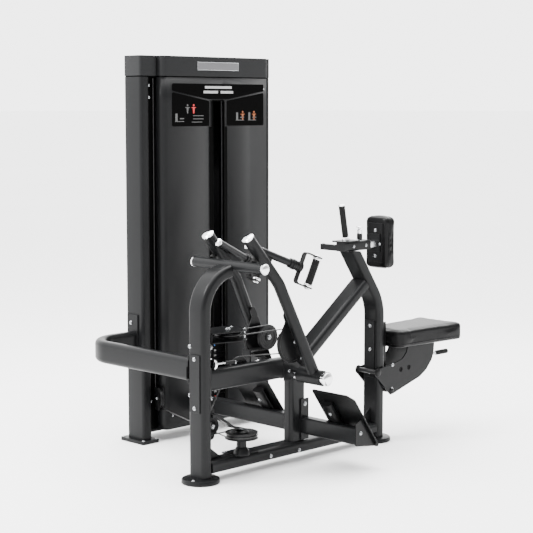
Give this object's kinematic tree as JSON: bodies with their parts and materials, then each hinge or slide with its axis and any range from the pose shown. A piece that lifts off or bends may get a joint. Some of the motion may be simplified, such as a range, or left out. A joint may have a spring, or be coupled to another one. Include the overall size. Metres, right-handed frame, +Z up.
{
  "type": "isolateral seated row machine",
  "caption": "Seated row machine with a weight tower, two independent lever arms with swivelling grips, pulleys and cable, an adjustable seat, a chest pad and footrests.",
  "frame": {"origin": "on the floor under the middle of the bounding box", "axes": "+Z up, +X along the base beam towards the seat, +Y towards the weight tower"},
  "size_m": [1.5825, 1.1702, 1.7],
  "materials": {
    "frame_paint": "satin charcoal powder coat",
    "dark_paint": "satin black powder coat",
    "chrome": "bright",
    "rubber": "matte",
    "vinyl": "grained black upholstery",
    "nylon": "moulded",
    "stack_iron": "painted",
    "cable_coat": "nylon coated steel wire",
    "placard": "satin"
  },
  "bodies": {
    "frame": {"front_post": "frame_paint", "base_beam": "frame_paint", "upper_beam": "frame_paint", "mid_post": "frame_paint", "seat_post": "frame_paint", "diagonal_brace": "frame_paint", "stop_tube": "frame_paint", "left_cross_beam": "frame_paint", "right_cross_beam": "frame_paint", "guard_rail": "frame_paint", "left_column": "frame_paint", "right_column": "frame_paint", "tower_base": "frame_paint", "tower_cap": "frame_paint", "front_shroud": "frame_paint", "rear_shroud": "frame_paint", "pulley_bracket": "frame_paint", "chest_sleeve": "frame_paint", "front_post_foot": "dark_paint", "seat_post_foot": "dark_paint", "left_footrest": "dark_paint", "right_footrest": "dark_paint", "left_column_foot": "dark_paint", "right_column_foot": "dark_paint", "stabiliser_handle": "dark_paint", "left_pivot_shaft": "chrome", "right_pivot_shaft": "chrome", "left_guide_rod": "chrome", "right_guide_rod": "chrome", "left_arm_bumper": "rubber", "right_arm_bumper": "rubber", "cable": "cable_coat", "stack_cable": "cable_coat", "instruction_placard": "placard"},
    "weight_carriage": {"weight_plate_1": "stack_iron", "weight_plate_2": "stack_iron", "weight_plate_3": "stack_iron", "top_weight_plate": "stack_iron"},
    "selector_pin": {"selector_pin": "chrome"},
    "left_arm": {"left_arm": "frame_paint", "left_pulley_guard": "frame_paint"},
    "right_arm": {"right_arm": "frame_paint", "right_pulley_guard": "frame_paint"},
    "left_arm_pulley": {"left_arm_pulley": "nylon"},
    "right_arm_pulley": {"right_arm_pulley": "nylon"},
    "left_handle": {"left_handle": "dark_paint", "left_grip": "rubber"},
    "right_handle": {"right_handle": "dark_paint", "right_grip": "rubber"},
    "front_pulley": {"front_pulley": "nylon"},
    "drop_pulley": {"drop_pulley": "nylon"},
    "turn_pulley": {"turn_pulley": "nylon"},
    "floor_pulley": {"floor_pulley": "nylon"},
    "tower_pulley": {"tower_pulley": "nylon"},
    "seat_carriage": {"seat_carriage": "frame_paint", "seat_pad": "vinyl"},
    "seat_lever": {"seat_lever": "frame_paint"},
    "chest_slide": {"chest_slide": "chrome", "chest_pad": "vinyl"},
    "chest_knob": {"chest_knob": "nylon"}
  },
  "joints": [
    {"name": "left_arm_swing", "type": "hinge", "parent": "frame", "child": "left_arm", "pos_m": [-0.20375, -0.36512, 0.374], "axis": [0, 1, 0], "range_deg": [0, 38], "deforming": ["cable"]},
    {"name": "left_handle_swivel", "type": "hinge", "parent": "left_arm", "child": "left_handle", "pos_m": [-0.33675, -0.35713, 0.8535], "axis": [0.8989, -0.2189, -0.3796], "range_deg": [-90, 90]},
    {"name": "left_arm_pulley_spin", "type": "hinge", "parent": "left_arm", "child": "left_arm_pulley", "pos_m": [-0.28275, -0.28513, 0.527], "axis": [0, 1, 0], "range_deg": [-156, 0]},
    {"name": "right_arm_swing", "type": "hinge", "parent": "frame", "child": "right_arm", "pos_m": [-0.20375, -0.08513, 0.374], "axis": [0, 1, 0], "range_deg": [0, 38]},
    {"name": "right_handle_swivel", "type": "hinge", "parent": "right_arm", "child": "right_handle", "pos_m": [-0.33675, -0.09312, 0.8535], "axis": [0.8989, 0.2189, -0.3796], "range_deg": [-90, 90]},
    {"name": "right_arm_pulley_spin", "type": "hinge", "parent": "right_arm", "child": "right_arm_pulley", "pos_m": [-0.28275, -0.16512, 0.527], "axis": [0, 1, 0], "range_deg": [0, 80]},
    {"name": "front_pulley_spin", "type": "hinge", "parent": "frame", "child": "front_pulley", "pos_m": [-0.56475, -0.22512, 0.577], "axis": [0, 0, 1], "range_deg": [-235, 0]},
    {"name": "drop_pulley_spin", "type": "hinge", "parent": "frame", "child": "drop_pulley", "pos_m": [-0.47675, -0.19212, 0.425], "axis": [0, 1, 0], "range_deg": [0, 261]},
    {"name": "turn_pulley_spin", "type": "hinge", "parent": "frame", "child": "turn_pulley", "pos_m": [-0.62975, -0.19212, 0.2075], "axis": [0, 1, 0], "range_deg": [0, 335]},
    {"name": "floor_pulley_spin", "type": "hinge", "parent": "frame", "child": "floor_pulley", "pos_m": [-0.52075, -0.25662, 0.166], "axis": [0, 0, 1], "range_deg": [0, 183]},
    {"name": "tower_pulley_spin", "type": "hinge", "parent": "frame", "child": "tower_pulley", "pos_m": [-0.38375, 0.41487, 0.1975], "axis": [-0.9567, 0.2912, 0], "range_deg": [0, 293]},
    {"name": "weight_lift", "type": "slide", "parent": "frame", "child": "weight_carriage", "axis": [0, 0, 1], "range_m": [0, 0.205], "deforming": ["stack_cable"]},
    {"name": "selector_pin_slide", "type": "slide", "parent": "weight_carriage", "child": "selector_pin", "axis": [0, -1, 0], "range_m": [0, 0.1]},
    {"name": "seat_height", "type": "slide", "parent": "frame", "child": "seat_carriage", "axis": [0, 0, 1], "range_m": [-0.08, 0.12]},
    {"name": "seat_lever_lift", "type": "hinge", "parent": "seat_carriage", "child": "seat_lever", "pos_m": [0.61525, -0.26312, 0.352], "axis": [0, -1, 0], "range_deg": [0, 12], "stiffness_Nm_per_rad": 12},
    {"name": "chest_pad_reach", "type": "slide", "parent": "frame", "child": "chest_slide", "axis": [1, 0, 0], "range_m": [-0.05, 0.05]},
    {"name": "chest_knob_pull", "type": "slide", "parent": "frame", "child": "chest_knob", "axis": [0, 0, 1], "range_m": [0, 0.012], "stiffness_N_per_m": 800}
  ],
  "couplings": [
    {"joint": "weight_lift", "follows": "left_arm_swing", "m_per_rad": 0.306},
    {"joint": "left_arm_pulley_spin", "follows": "left_arm_swing", "ratio": -4.06},
    {"joint": "right_arm_pulley_spin", "follows": "right_arm_swing", "ratio": 2.06},
    {"joint": "front_pulley_spin", "follows": "right_arm_swing", "ratio": -6.12},
    {"joint": "drop_pulley_spin", "follows": "left_arm_swing", "ratio": 6.8},
    {"joint": "turn_pulley_spin", "follows": "left_arm_swing", "ratio": 8.7429},
    {"joint": "floor_pulley_spin", "follows": "left_arm_swing", "ratio": 4.7442},
    {"joint": "tower_pulley_spin", "follows": "left_arm_swing", "ratio": 7.65}
  ]
}
